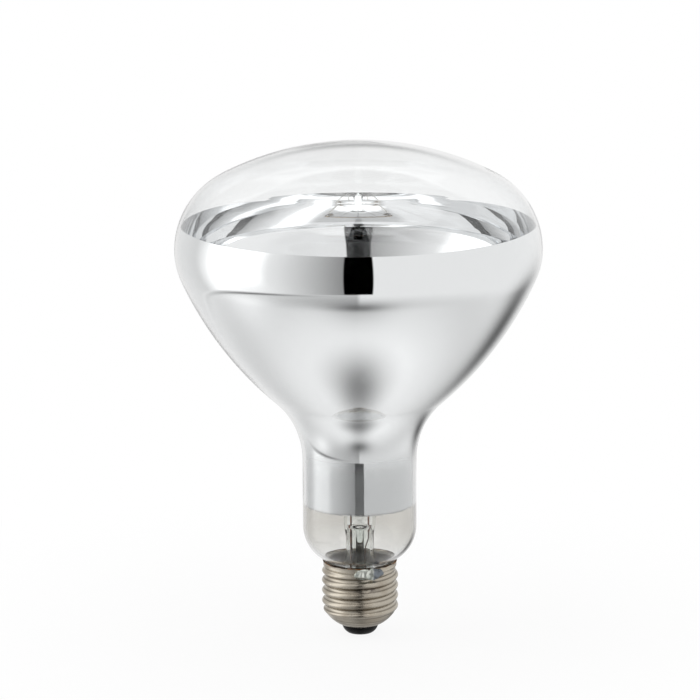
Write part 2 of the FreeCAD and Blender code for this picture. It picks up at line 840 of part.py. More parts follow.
def basing_cement():
    body = turned_body(
        "basing_cement",
        [
            (seal_radius + cement_gap, cement_low),
            (root_radius - shell_wall - cement_gap, cement_low),
            (root_radius - shell_wall - cement_gap, band_low),
            (band_radius - shell_wall - cement_gap, band_low + rim_flare),
            (band_radius - shell_wall - cement_gap, cement_top),
            (cement_top_across, cement_top),
            (seal_radius + cement_gap, heel_height, cement_heel, "left"),
        ],
    )
    channel = new_sketch(body, "lead_channel", "XY_Plane", cement_top)
    slot_outline(channel, seal_radius, rim_channel_across, side_lead_radius + cement_gap)
    cut = body.newObject("PartDesign::Pocket", "LeadChannel")
    cut.Profile = channel
    cut.setExpression("Length", (cement_top - cement_low).formula)
    body.Tip = cut
    turn_to(body, blob_azimuth)


basing_cement()

# The blob of solder over the cap's rim, where the side lead comes out

blob_middle = rim_height - size("blob_drop")
outside_lead_across = rim_radius + side_lead_radius + solder_gap
side_lead_end = rim_height - size("side_lead_tail")


def side_solder():
    body = subpart("PartDesign::Body", "side_solder")
    blob = body.newObject("PartDesign::AdditiveEllipsoid", "Blob")
    blob.setExpression("Radius1", (size("blob_height") / 2).formula)
    blob.setExpression("Radius2", (size("blob_depth") / 2).formula)
    blob.setExpression("Radius3", (size("blob_width") / 2).formula)
    middle = band_radius - size("blob_sink")
    blob.Placement = FreeCAD.Placement(V(float(middle), 0, float(blob_middle)), FreeCAD.Rotation())
    blob.setExpression("Placement.Base.x", middle.formula)
    blob.setExpression("Placement.Base.z", blob_middle.formula)
    body.Tip = blob
    above = rim_height + size("blob_height")
    below = rim_height - 2 * size("blob_height")
    seat = [
        (0, below),
        (band_radius + solder_gap, below),
        (band_radius + solder_gap, rim_height - rim_flare),
        (rim_radius + solder_gap, rim_height),
        (rim_radius + solder_gap, above),
        (0, above),
    ]
    doc.recompute()
    revolve(body, outline(new_sketch(body, "cap_side"), seat), "PartDesign::Groove", "Seat")
    hole = new_sketch(body, "lead_hole", "XY_Plane", above)
    circle_in(hole, outside_lead_across, 0, side_lead_radius + solder_gap)
    cut = body.newObject("PartDesign::Pocket", "LeadHole")
    cut.Profile = hole
    cut.setExpression("Length", (above - side_lead_end + solder_gap).formula)
    body.Tip = cut
    turn_to(body, blob_azimuth)


side_solder()

# Wires: straight runs joined by tangent arcs, swept as round bars

longest_bend_share = float(size("longest_bend_share"))


def rounded_route(points, bends):
    """Edges through the points, with a bend radius for each corner that fits its shorter run."""
    edges = []
    start = points[0]
    for before, corner, after, bend in zip(points, points[1:], points[2:], bends):
        inward = (corner - before).normalize()
        outward = (after - corner).normalize()
        half_turn = inward.getAngle(outward) / 2
        shorter = min((corner - before).Length, (after - corner).Length)
        reach = min(bend * math.tan(half_turn), longest_bend_share * shorter)
        radius = reach / math.tan(half_turn)
        first, last = corner - inward * reach, corner + outward * reach
        centre = corner + (outward - inward).normalize() * (radius / math.cos(half_turn))
        middle = centre + (corner - centre).normalize() * radius
        edges.append(Part.LineSegment(start, first).toShape())
        edges.append(Part.Arc(first, middle, last).toShape())
        start = last
    edges.append(Part.LineSegment(start, points[-1]).toShape())
    return edges


def wire_along(label, edges, radius):
    """A round wire whose route starts with a straight edge."""
    route = doc.addObject("Part::Feature", f"{label}_route")
    route.Shape = Part.Wire(edges)
    start, ahead = edges[0].Vertexes[0].Point, edges[0].Vertexes[1].Point
    ring = doc.addObject("Part::Circle", f"{label}_section")
    ring.setExpression("Radius", radius.formula)
    ring.Placement = FreeCAD.Placement(start, FreeCAD.Rotation(V(0, 0, 1), ahead - start))
    wire = subpart("Part::Sweep", label)
    wire.Sections = [ring]
    wire.Spine = (route, [f"Edge{number}" for number in range(1, len(edges) + 1)])
    wire.Solid = True


def straight_wire(label, across, low, high, radius):
    wire = subpart("Part::Cylinder", label)
    wire.setExpression("Radius", radius.formula)
    wire.setExpression("Height", (high - low).formula)
    wire.Placement = FreeCAD.Placement(V(float(across), 0, float(low)), FreeCAD.Rotation())
    wire.setExpression("Placement.Base.x", across.formula)
    wire.setExpression("Placement.Base.z", low.formula)


seal_wire_low = bore_end - size("seal_wire_reach")
seal_wire_high = press_high + size("seal_wire_reach")
straight_wire("seal_wire_centre", -1 * seal_wire_across, seal_wire_low, seal_wire_high, seal_wire_radius)
straight_wire("seal_wire_side", seal_wire_across, seal_wire_low, seal_wire_high, seal_wire_radius)

lead_across = float(seal_wire_across)
lead_top = float(seal_wire_low)
lead_bend = float(size("lead_bend"))


def centre_lead():
    turn_in = float(exhaust_low) - float(size("lead_clearance"))
    turn_down = float(taper_top)
    points = [
        V(-lead_across, 0, lead_top),
        V(-lead_across, 0, turn_in),
        V(0, 0, turn_down),
        V(0, 0, float(lead_end)),
    ]
    wire_along("centre_lead", rounded_route(points, [lead_bend] * 2), centre_lead_radius)


def side_lead():
    """Runs down the stem, under the flare, up through the cement and over the cap's rim."""
    azimuth = math.radians(float(blob_azimuth))
    outward = V(math.cos(azimuth), math.sin(azimuth), 0)
    swerve = math.radians(float(size("side_lead_azimuth")))
    aside = V(math.cos(swerve), math.sin(swerve), 0) * lead_across
    under = float(lip_low) - float(size("lead_clearance"))
    over = float(rim_height) + float(side_lead_radius) + float(solder_gap)
    swerve_start = lead_top - float(size("side_lead_straight"))
    swerve_end = swerve_start - lead_across
    across = float(channel_across)
    rim_across = float(rim_channel_across)
    step = float(band_low + rim_flare)
    points = [
        V(lead_across, 0, lead_top),
        V(lead_across, 0, swerve_start),
        aside + V(0, 0, swerve_end),
        aside + V(0, 0, under),
        outward * across + V(0, 0, under),
        outward * across + V(0, 0, step),
        outward * rim_across + V(0, 0, step + rim_across - across),
        outward * rim_across + V(0, 0, over),
        outward * float(outside_lead_across) + V(0, 0, over),
        outward * float(outside_lead_across) + V(0, 0, float(side_lead_end)),
    ]
    bends = [lead_bend] * (len(points) - 4) + [float(size("rim_bend"))] * 2
    wire_along("side_lead", rounded_route(points, bends), side_lead_radius)


centre_lead()
side_lead()

# The filament's ring, its clamps and the inner leads that carry them

ring_radius = size("filament_ring_diameter") / 2
ring_height = size("filament_height")
coil_radius = size("filament_coil_diameter") / 2
ring_start = 90 + gap_angle / 2
ring_turn = 360 - gap_angle
filament = subpart("Part::Torus", "filament")
filament.setExpression("Radius1", ring_radius.formula)
filament.setExpression("Radius2", coil_radius.formula)
filament.setExpression("Angle3", ring_turn.formula)
turn_to(filament, ring_start)
filament.Placement.Base = V(0, 0, float(ring_height))
filament.setExpression("Placement.Base.z", ring_height.formula)

clamp_length = size("clamp_length")
clamp_hole = coil_radius + size("clamp_gap")
clamp_outside = clamp_hole + size("clamp_wall")
tab_low = clamp_outside + size("clamp_tab")
inner_lead_radius = size("inner_lead_diameter") / 2


def clamp(label, azimuth):
    """A sleeve crimped round the filament's end, with a tab that the lead is welded to."""
    body = subpart("PartDesign::Body", label)
    sleeve = new_sketch(body, f"{label}_sleeve", "XZ_Plane")
    circle_in(sleeve, 0, 0, clamp_outside)
    grip = body.newObject("PartDesign::Pad", "Sleeve")
    grip.Profile = sleeve
    grip.Midplane = True
    grip.setExpression("Length", clamp_length.formula)
    body.Tip = grip
    tab = new_sketch(body, f"{label}_tab", "XZ_Plane")
    half = float(size("clamp_tab_width")) / 2
    low, high = -float(tab_low), -float(clamp_hole)
    corners = [V(-half, low, 0), V(half, low, 0), V(half, high, 0), V(-half, high, 0)]
    for index in range(4):
        edge = Part.LineSegment(corners[index], corners[(index + 1) % 4])
        tab.addGeometry(edge, False)
    for index in range(4):
        follow = (index + 1) % 4
        tab.addConstraint(Sketcher.Constraint("Coincident", index, 2, follow, 1))
    tab.addConstraint(Sketcher.Constraint("Vertical", 1))
    tab.addConstraint(Sketcher.Constraint("Horizontal", 2))
    tab.addConstraint(Sketcher.Constraint("Vertical", 3))
    bind(tab, Sketcher.Constraint("DistanceX", 0, 1, 0, 2, 2 * half), size("clamp_tab_width"))
    tab.addConstraint(Sketcher.Constraint("Symmetric", 0, 1, 0, 2, -2))
    bind(tab, Sketcher.Constraint("DistanceY", 0, 1, -1, 1, -low), tab_low)
    bind(tab, Sketcher.Constraint("DistanceY", 2, 1, -1, 1, -high), clamp_hole)
    strip = body.newObject("PartDesign::Pad", "Tab")
    strip.Profile = tab
    strip.Midplane = True
    strip.setExpression("Length", clamp_length.formula)
    body.Tip = strip
    bore = new_sketch(body, f"{label}_bore", "XZ_Plane")
    circle_in(bore, 0, 0, clamp_hole)
    hole = body.newObject("PartDesign::Pocket", "Bore")
    hole.Profile = bore
    hole.Midplane = True
    hole.setExpression("Length", (2 * clamp_length).formula)
    body.Tip = hole
    turn = math.radians(float(azimuth))
    place = V(math.cos(turn), math.sin(turn), 0) * float(ring_radius) + V(0, 0, float(ring_height))
    body.Placement = FreeCAD.Placement(place, FreeCAD.Rotation(V(0, 0, 1), float(azimuth)))
    return place


def inner_lead(label, side, place):
    """Rises straight from the press, leans out to its clamp and ends upright under the tab."""
    straight = float(size("inner_lead_straight"))
    top = place.z - float(tab_low)
    points = [
        V(side * lead_across, 0, float(seal_wire_high)),
        V(side * lead_across, 0, float(seal_wire_high) + straight),
        V(place.x, place.y, top - straight),
        V(place.x, place.y, top),
    ]
    wire_along(label, rounded_route(points, [lead_bend] * 2), inner_lead_radius)


clamp_turn = clamp_length * (90 / math.pi) / ring_radius
place = clamp("filament_clamp_centre", ring_start + clamp_turn)
inner_lead("inner_lead_centre", -1, place)
place = clamp("filament_clamp_side", ring_start + ring_turn - clamp_turn - 360)
inner_lead("inner_lead_side", 1, place)

# The support wires: out of the button, up to the ring and round the filament in a hook


def support_wire(number):
    azimuth = math.radians(float(first_support + support_step * number))
    outward = V(math.cos(azimuth), math.sin(azimuth), 0)

    def at(across, up):
        return outward * across + V(0, 0, up)

    hook_radius = float(coil_radius + size("hook_gap") + support_radius)
    level = float(button_middle)
    elbow_across = float(size("support_elbow"))
    run, rise = float(ring_radius) - elbow_across, float(ring_height) - level
    straight = math.hypot(run, rise)
    lean = math.atan2(rise, run) - math.asin(hook_radius / straight)
    length = math.sqrt(straight**2 - hook_radius**2)
    meets_across = elbow_across + length * math.cos(lean)
    meets_up = level + length * math.sin(lean)
    points = [at(float(support_inner), level), at(elbow_across, level), at(meets_across, meets_up)]
    edges = rounded_route(points, [lead_bend])
    first = lean - math.pi / 2
    wrap = math.radians(float(size("hook_wrap")))

    def on_hook(angle):
        across = float(ring_radius) + hook_radius * math.cos(angle)
        return at(across, float(ring_height) + hook_radius * math.sin(angle))

    hook = Part.Arc(on_hook(first), on_hook(first + wrap / 2), on_hook(first + wrap))
    edges.append(hook.toShape())
    wire_along(f"support_wire_{number + 1}", edges, support_radius)


for number in range(round(float(support_count))):
    support_wire(number)

doc.recompute()
for item in doc.Objects:
    if "Invalid" in item.State or "Error" in item.State:
        raise RuntimeError(f"{item.Label} did not build: {item.State}")
for made in subparts:
    if made.Shape.isNull() or not made.Shape.isValid():
        raise RuntimeError(f"{made.Label} has no sound solid")
for made in subparts:
    made.Shape.exportStep(f"parts/{made.Label}.step")
    print(f"{made.Label}: {len(made.Shape.Solids)} solid, {made.Shape.Volume:.2f} mm3")
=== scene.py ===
import math

import bmesh
import bpy
from mathutils import Matrix, Vector, noise


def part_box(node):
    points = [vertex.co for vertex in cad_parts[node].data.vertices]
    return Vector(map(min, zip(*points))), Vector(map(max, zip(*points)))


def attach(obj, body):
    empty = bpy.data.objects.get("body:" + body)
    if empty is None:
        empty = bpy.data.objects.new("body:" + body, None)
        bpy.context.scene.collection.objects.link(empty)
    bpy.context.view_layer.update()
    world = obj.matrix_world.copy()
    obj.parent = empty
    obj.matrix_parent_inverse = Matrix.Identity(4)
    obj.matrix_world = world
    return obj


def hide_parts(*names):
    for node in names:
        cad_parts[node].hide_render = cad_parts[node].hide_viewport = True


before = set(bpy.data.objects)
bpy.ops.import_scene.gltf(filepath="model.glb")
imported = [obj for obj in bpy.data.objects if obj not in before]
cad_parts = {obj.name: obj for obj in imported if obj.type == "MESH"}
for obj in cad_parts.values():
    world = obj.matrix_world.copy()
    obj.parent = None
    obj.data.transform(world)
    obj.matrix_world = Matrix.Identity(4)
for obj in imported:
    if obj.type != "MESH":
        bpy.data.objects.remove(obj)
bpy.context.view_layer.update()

# Infrared heat lamp bulb: clear crown, mirrored cone, clear foot of the neck, and a screw cap.
# Metres, in the frame's own axes: +Z up the lamp, -Y towards the camera.

scene = bpy.context.scene
mm = 0.001
together = 1e-7             # points closer than this are one point


class Link:
    def __init__(self, graph, socket):
        self.graph = graph
        self.socket = socket

    def maths(self, operation, *values):
        return self.graph.node("ShaderNodeMath", {"operation": operation}, dict(enumerate(values)))

    def __add__(self, other):
        return self.maths("ADD", self, other)

    def __radd__(self, other):
        return self.maths("ADD", other, self)

    def __sub__(self, other):
        return self.maths("SUBTRACT", self, other)

    def __rsub__(self, other):
        return self.maths("SUBTRACT", other, self)

    def __mul__(self, other):
        return self.maths("MULTIPLY", self, other)

    def __rmul__(self, other):
        return self.maths("MULTIPLY", other, self)

    def __truediv__(self, other):
        return self.maths("DIVIDE", self, other)

    def __neg__(self):
        return self.maths("MULTIPLY", self, -1.0)

    def __pow__(self, other):
        return self.maths("POWER", self, other)

    def smaller(self, other):
        return self.maths("MINIMUM", self, other)

    def larger(self, other):
        return self.maths("MAXIMUM", self, other)


class Graph:
    def __init__(self, tree):
        self.tree = tree

    def feed(self, socket, value):
        if isinstance(value, Link):
            self.tree.links.new(value.socket, socket)
        else:
            socket.default_value = value

    def node(self, kind, settings=None, values=None, output=0):
        made = self.tree.nodes.new(kind)
        for name, value in (settings or {}).items():
            setattr(made, name, value)
        for name, value in (values or {}).items():
            self.feed(made.inputs[name], value)
        return Link(self, made.outputs[output])

    def rise(self, value, low, high):         # 0 below low, 1 above high, smooth between
        settings = {"interpolation_type": "SMOOTHSTEP"}
        return self.node("ShaderNodeMapRange", settings, {0: value, 1: low, 2: high})

    def window(self, value, low, high, soft):
        opens = self.rise(value, low - soft, low + soft)
        return opens * (1 - self.rise(value, high - soft, high + soft))

    def bell(self, value, middle, width):     # 1 at the middle, fading smoothly to both sides
        away = (value - middle) / width
        return away.maths("EXPONENT", -(away * away))

    def mix(self, factor, one, other):        # colours
        values = {0: factor, 6: one, 7: other}
        return self.node("ShaderNodeMix", {"data_type": "RGBA"}, values, 2)

    def split(self, vector, axes="XYZ"):      # a vector's numbers, one link for each axis
        return [self.node("ShaderNodeSeparateXYZ", None, {0: vector}, axis) for axis in axes]

    def place(self, axes="XYZ"):              # the point on the piece, in object coordinates
        return self.split(self.node("ShaderNodeTexCoord", output="Object"), axes)

    def noise(self, scale, detail=3.0, stretch=None):
        coordinates = self.node("ShaderNodeTexCoord", output="Object")
        if stretch:
            values = {"Vector": coordinates, "Scale": stretch}
            coordinates = self.node("ShaderNodeMapping", None, values)
        values = {"Vector": coordinates, "Scale": scale, "Detail": detail}
        return self.node("ShaderNodeTexNoise", None, values)

    def bump(self, height, strength, distance):
        values = {"Height": height, "Strength": strength, "Distance": distance}
        return self.node("ShaderNodeBump", None, values)


def newMaterial(name, constants):
    material = bpy.data.materials.new(name)
    material.use_nodes = True
    shader = material.node_tree.nodes["Principled BSDF"]
    for socket, value in constants.items():
        shader.inputs[socket].default_value = value
    return material, Graph(material.node_tree), shader


def grey(level):
    return (level, level, level, 1.0)


def newPiece(name, mesh, material, nodes, crease=35.0):
    mesh.materials.clear()
    mesh.materials.append(material)
    mesh.shade_smooth()
    mesh.set_sharp_from_angle(angle=math.radians(crease))
    piece = bpy.data.objects.new(name, mesh)
    scene.collection.objects.link(piece)
    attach(piece, "root")
    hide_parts(*nodes)
    return piece


def meshFrom(name, points, faces):
    mesh = bpy.data.meshes.new(name)
    mesh.from_pydata(points, [], faces)
    mesh.update()
    return mesh


def turned(name, outline, around):
    # revolves an outline (across, up), closed or with both ends on the axis
    area = sum(a[0] * b[1] - b[0] * a[1] for a, b in zip(outline, outline[1:] + outline[:1]))
    if area < 0:
        outline = outline[::-1]
    points, rings = [], []
    for across, up in outline:
        if across < together:
            rings.append([len(points)] * around)
            points.append((0.0, 0.0, up))
            continue
        rings.append(list(range(len(points), len(points) + around)))
        for step in range(around):
            turn = 2 * math.pi * step / around
            points.append((across * math.cos(turn), across * math.sin(turn), up))
    faces = []
    for here, ahead in zip(rings, rings[1:] + rings[:1]):
        if here[0] == here[-1] and ahead[0] == ahead[-1]:
            continue
        for step in range(around):
            after = (step + 1) % around
            corners = [here[step], here[after], ahead[after], ahead[step]]
            faces.append(list(dict.fromkeys(corners)))
    return meshFrom(name, points, faces)


def arcPoints(centre, radius, first, last, step):
    count = max(2, math.ceil(abs(last - first) * radius / step))
    turns = [first + (last - first) * index / count for index in range(count + 1)]
    return [(centre[0] + radius * math.cos(t), centre[1] + radius * math.sin(t)) for t in turns]


def linePoints(start, end, step):
    count = max(1, math.ceil(math.dist(start, end) / step))
    return [
        (start[0] + (end[0] - start[0]) * i / count, start[1] + (end[1] - start[1]) * i / count)
        for i in range(count + 1)
    ]


def chain(*runs):
    points = []
    for run in runs:
        apart = not points or math.dist(points[-1], run[0]) > together
        points += run if apart else run[1:]
    return points


def smoothCopy(node, name, material, crease=40.0, lumps=None):
    # the node's own form, with its loose triangles joined so that it shades smoothly
    work = bmesh.new()
    work.from_mesh(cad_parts[node].data)
    bmesh.ops.remove_doubles(work, verts=work.verts, dist=1e-6)
    if lumps:
        size, depth = lumps
        bmesh.ops.subdivide_edges(work, edges=work.edges, cuts=1, use_grid_fill=True)
        work.normal_update()
        for point in work.verts:
            point.co += point.normal * noise.noise(point.co / size) * depth
    mesh = bpy.data.meshes.new(name)
    work.to_mesh(mesh)
    work.free()
    return newPiece(name, mesh, material, [node], crease)


def plainMesh(piece, name):
    # the evaluated result of a piece's modifiers
    graph = bpy.context.evaluated_depsgraph_get()
    mesh = bpy.data.meshes.new_from_object(piece.evaluated_get(graph))
    mesh.name = name
    bpy.data.objects.remove(piece)
    return mesh


# Camera and studio
camera = {
    "distance": 1.25,        # from the lamp's middle
    "elevation": 13.4,       # degrees above the lamp's middle
    "middle": 85.0 * mm,
    "aim": (-3.05 * mm, 0.0, 100.4 * mm),
    "roll": -0.3,            # degrees
    "lens": 187.7,
}


def placeCamera():
    tilt = math.radians(camera["elevation"])
    reach = camera["distance"]
    spot = Vector((0.0, -reach * math.cos(tilt), camera["middle"] + reach * math.sin(tilt)))
    ahead = (Vector(camera["aim"]) - spot).normalized()
    right = ahead.cross(Vector((0.0, 0.0, 1.0))).normalized()
    up = right.cross(ahead)
    turn = Matrix((right, up, -ahead)).transposed().to_4x4()
    data = bpy.data.cameras.new("camera")
    data.lens = camera["lens"]
    made = bpy.data.objects.new("camera", data)
    scene.collection.objects.link(made)
    roll = Matrix.Rotation(math.radians(camera["roll"]), 4, "Z")
    made.matrix_world = Matrix.Translation(spot) @ turn @ roll
    scene.camera = made


# The studio as the mirror shows it. Azimuths run from the camera's side, + to its right,
# and elevations from the level of the eye, in degrees. 1 is plain white.
studio = {
    "right": 0.85,
    "rightBack": (95.0, 150.0, 0.88),            # from, to, level behind the lamp
    "left": 1.5,
    "leftBack": (100.0, 125.0, 0.86),
    "sideEdge": 2.0,                             # softness where left and right meet
    "leftDim": (1.7, 58.9, 118.6),               # the left fades: amount, azimuth, width
    "leftDimTable": (0.3, -36.0, 14.0),          # share on the table, elevation, width
    "box": (-103.0, -66.0, -27.0, -5.0, 1.62),   # softbox: sides, soft lower edge, level
    "boxEdge": 9.0,
    "gap": (-9.5, 9.3),                          # dark gap round the camera: its sides
    "gapEdge": 0.6,
    "gapLow": (-28.6, -26.6),                    # its soft lower edge
    "gapTop": (84.0, 89.0),                      # its soft upper edge
    "backTop": (100.0, 125.0, 40.5, 43.0, 0.5),  # above the back walls: from, to, edge, level
    "overhead": (56.0, 60.0, 1.6),               # the ceiling: soft edge, level
    "horizon": (-28.8, -27.8),                   # the table begins below this
    "tableRight": 0.907,
    "tableLeft": 0.898,
    "steep": (0.069, 80.0, 45.0),                # lighter on the right: amount, azimuth, width
    "steepTop": (-72.0, -60.0),                  # but only near the foot, up to this soft edge
    "ring": (0.22, -45.0, 14.0),                 # darker all round: amount, elevation, width
    "foot": (0.483, -90.0, -68.7),               # the lamp's own shade: amount, soft edge
    # soft patches: amount, azimuth, width, elevation, width
    "glow": (0.43, -89.7, 21.5, -40.8, 9.2),     # the softbox on the table, brighter
    "middle": (0.72, 0.0, 27.0, -51.5, 9.8),     # dark before the camera
    "stand": (0.84, 150.0, 18.0, -29.0, 12.0),   # something dark behind on the right
    "behind": (0.7, 180.0, 8.0, 12.0, 4.0),      # something dark straight behind
    "line": (0.75, -78.0, 40.0, -30.6, 1.4),     # thin dark line along the table's edge
}
table = {
    "sides": (-235.0 * mm, 168.0 * mm),
    "ends": (-205.0 * mm, 600.0 * mm),
    "white": 0.9,                                # share of plain white that the camera sees
    "fades": (60.0 * mm, 200.0 * mm),            # plain white takes over between these
    "roughness": 0.8,
    # shade before the cap, as mirrors see it: width, place and width along Y, amount
    "shade": (18.0 * mm, -26.0 * mm, 35.0 * mm, 0.5),
}


def pathsOf(graph):
    # plain white is seen directly or straight through clear glass, the studio after a bounce
    names = ("Is Camera Ray", "Glossy Depth", "Diffuse Depth", "Is Transmission Ray")
    path = {name: graph.node("ShaderNodeLightPath", output=name) for name in names}
    glossy = path["Glossy Depth"].smaller(1.0)
    bounced = (path["Glossy Depth"] + path["Diffuse Depth"]).smaller(1.0)
    direct = path["Is Camera Ray"].larger(path["Is Transmission Ray"] * (1 - bounced))
    return direct, glossy


def lightStudio():
    world = bpy.data.worlds.new("studio")
    world.use_nodes = True
    scene.world = world
    graph = Graph(world.node_tree)
    x, y, z = graph.split(graph.node("ShaderNodeTexCoord", output="Generated"))
    azimuth = x.maths("DEGREES", x.maths("ARCTAN2", x, -y))
    elevation = z.maths("DEGREES", z.maths("ARCSINE", z))
    around = azimuth.maths("WRAP", azimuth, 360.0, 0.0)
    edge = studio["sideEdge"]
    toLeft = graph.rise(-azimuth, -edge, edge)

    def sides(left, right):
        return left * toLeft + right * (1 - toLeft)

    def blend(one, other, share):
        return one * (1 - share) + other * share

    def patch(name, turn):
        amount, middle, width, height, tall = studio[name]
        return amount * graph.bell(turn, middle, width) * graph.bell(elevation, height, tall)

    # walls and ceiling
    start, end, level = studio["rightBack"]
    right = studio["right"] + (level - studio["right"]) * graph.rise(azimuth, start, end)
    start, end, level = studio["leftBack"]
    amount, middle, width = studio["leftDim"]
    dim = amount * graph.bell(azimuth, middle, width)
    left = studio["left"] + (level - studio["left"]) * graph.rise(-azimuth, start, end) - dim
    wall = sides(left, right)
    start, end, low, high, level = studio["box"]
    box = graph.window(azimuth, start, end, studio["boxEdge"]) * graph.rise(elevation, low, high)
    wall = blend(wall, level, box)
    start, end, low, high, level = studio["backTop"]
    back = graph.rise(azimuth, start, end) + graph.rise(-azimuth, start, end)
    wall = blend(wall, level, back * graph.rise(elevation, low, high))
    low, high, level = studio["overhead"]
    wall = blend(wall, level, graph.rise(elevation, low, high))
    gap = graph.window(azimuth, *studio["gap"], studio["gapEdge"])
    gap = gap * graph.rise(elevation, *studio["gapLow"])
    wall = wall * (1 - gap * (1 - graph.rise(elevation, *studio["gapTop"])))

    # table
    amount, middle, width = studio["steep"]
    steep = amount * graph.bell(azimuth, middle, width)
    right = studio["tableRight"] + steep * (1 - graph.rise(elevation, *studio["steepTop"]))
    share, height, tall = studio["leftDimTable"]
    left = studio["tableLeft"] - dim * share * graph.bell(elevation, height, tall)
    floor = sides(left, right) + patch("glow", azimuth)
    floor = floor * (1 - patch("middle", azimuth))
    amount, height, tall = studio["ring"]
    floor = floor * (1 - amount * graph.bell(elevation, height, tall))
    amount, low, high = studio["foot"]
    floor = floor * (1 - amount * (1 - graph.rise(elevation, low, high)))

    level = blend(floor, wall, graph.rise(elevation, *studio["horizon"]))
    level = level * (1 - patch("stand", around)) * (1 - patch("behind", around))
    level = level * (1 - patch("line", azimuth))
    direct = pathsOf(graph)[0]
    level = level * (1 - direct) + direct
    colour = graph.node("ShaderNodeCombineColor", None, {0: level, 1: level, 2: level})
    graph.feed(world.node_tree.nodes["Background"].inputs["Color"], colour)
    print("studio lit")


def layTable():
    left, right = table["sides"]
    front, back = table["ends"]
    corners = [(left, front, 0.0), (right, front, 0.0), (right, back, 0.0), (left, back, 0.0)]
    floor = bpy.data.objects.new("table_top", meshFrom("table_top", corners, [[0, 1, 2, 3]]))
    scene.collection.objects.link(floor)
    constants = {"Base Color": grey(0.9), "Roughness": table["roughness"]}
    material, graph, shader = newMaterial("tablePaint", constants)
    x, y = graph.place("XY")
    far = graph.rise(x.maths("SQRT", x * x + y * y), *table["fades"])
    direct, glossy = pathsOf(graph)
    white = graph.node("ShaderNodeEmission", None, {"Color": grey(1.0)})
    share = table["white"] + far * (1 - table["white"])
    paint = Link(graph, shader.outputs[0])
    paint = graph.node("ShaderNodeMixShader", None, {0: direct * share, 1: paint, 2: white})
    # mirrors look through the table, since the studio's own levels hold what they see of it
    width, place, length, amount = table["shade"]
    shade = graph.bell(x, 0.0, width) * graph.bell(y, place, length) * amount
    clear = graph.node("ShaderNodeBsdfTransparent")
    black = graph.node("ShaderNodeEmission", None, {"Strength": 0.0})
    through = graph.node("ShaderNodeMixShader", None, {0: shade, 1: clear, 2: black})
    paint = graph.node("ShaderNodeMixShader", None, {0: glossy, 1: paint, 2: through})
    graph.feed(material.node_tree.nodes["Material Output"].inputs["Surface"], paint)
    floor.data.materials.append(material)
    print("table laid")


placeCamera()
lightStudio()
layTable()

# The bulb
bulb = {
    "widest": 135.7 * mm,
    "crownShoulder": 27.4 * mm,
    "coneShoulder": 23.9 * mm,
    "cone": 122.6 * mm,
    "throat": 28.8 * mm,
    "throatHeight": 61.9 * mm,
    "neck": 19.575 * mm,
    "footHeight": 38.5 * mm,
    "foot": 13.0 * mm,
    "heel": 2.5 * mm,
    "seal": 11.1 * mm,
    "wall": 1.0 * mm,
    "crownDrop": 1.0 * mm,                # the photo's crown is this much flatter
    "hazeLow": (26.0 * mm, 37.0 * mm),    # the foot's brownish haze: soft lower edge
    "hazeHigh": (46.4 * mm, 47.5 * mm),   # and its upper one, where the film begins
    "film": 0.06 * mm,                    # the film's own thickness
    "filmGap": 0.03 * mm,                 # between the glass and the film
    "filmEdge": (-0.3 * mm, 1.0 * mm),    # soft edge, from the film's lowest point
    "filmRagged": 1.2 * mm,
    "thinFilm": (58.0 * mm, 73.0 * mm),   # milky below the first, bright above the second
    "step": 0.9 * mm,
    "around": 224,
}


def bulbLine(depth):
    # the bulb's section at a depth below its outer face, from the seal up to the crown
    low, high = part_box("glass_envelope")
    top = high.z - bulb["crownDrop"] - depth
    widest = bulb["widest"]
    wide, neck, seal = high.x - depth, bulb["neck"] - depth, bulb["seal"] - depth
    upper, lower = bulb["crownShoulder"] - depth, bulb["coneShoulder"] - depth
    cone, throat = bulb["cone"] - depth, bulb["throat"] + depth
    foot, heel = bulb["foot"] - depth, bulb["heel"] + depth
    rise, reach = top - widest, wide - upper
    crown = (reach**2 + rise**2 - upper**2) / (2 * (rise - upper))
    crownMid = Vector((0.0, top - crown))
    upperMid, lowerMid = Vector((reach, widest)), Vector((wide - lower, widest))
    throatMid = Vector((neck + throat, bulb["throatHeight"]))
    footMid = Vector((neck - foot, bulb["footHeight"]))
    line = throatMid - lowerMid
    along = ((cone - lower)**2 - (cone + throat)**2 + line.length**2) / (2 * line.length)
    aside = math.sqrt((cone - lower)**2 - along**2)
    unit = line.normalized()
    coneMid = lowerMid + unit * along + Vector((unit.y, -unit.x)) * aside
    across = seal + heel
    heelMid = Vector((across, footMid.y - math.sqrt((foot + heel)**2 - (across - footMid.x)**2)))

    def turn(one, other):
        return math.atan2(other.y - one.y, other.x - one.x)

    step = bulb["step"]
    atHeel = turn(heelMid, footMid)
    atThroat = turn(throatMid, coneMid)
    return chain(
        linePoints((seal, low.z), (seal, heelMid.y), step),
        arcPoints(heelMid, heel, math.pi, atHeel, step / 3),
        arcPoints(footMid, foot, turn(footMid, heelMid), 0.0, step),
        linePoints((neck, footMid.y), (neck, throatMid.y), step),
        arcPoints(throatMid, throat, math.pi, atThroat, step),
        arcPoints(coneMid, cone, turn(coneMid, throatMid), turn(coneMid, lowerMid), step),
        arcPoints(lowerMid, lower, turn(coneMid, lowerMid), 0.0, step),
        arcPoints(upperMid, upper, 0.0, turn(crownMid, upperMid), step),
        arcPoints(crownMid, crown, turn(crownMid, upperMid), math.pi / 2, step),
    )


def cutLine(points, low, high):
    # the part of a rising line between two heights
    kept = []
    for one, other in zip(points, points[1:]):
        for height in (low, high):
            if one[1] < height <= other[1]:
                share = (height - one[1]) / (other[1] - one[1])
                kept.append((one[0] + (other[0] - one[0]) * share, height))
        if low < other[1] < high:
            kept.append(other)
    return kept


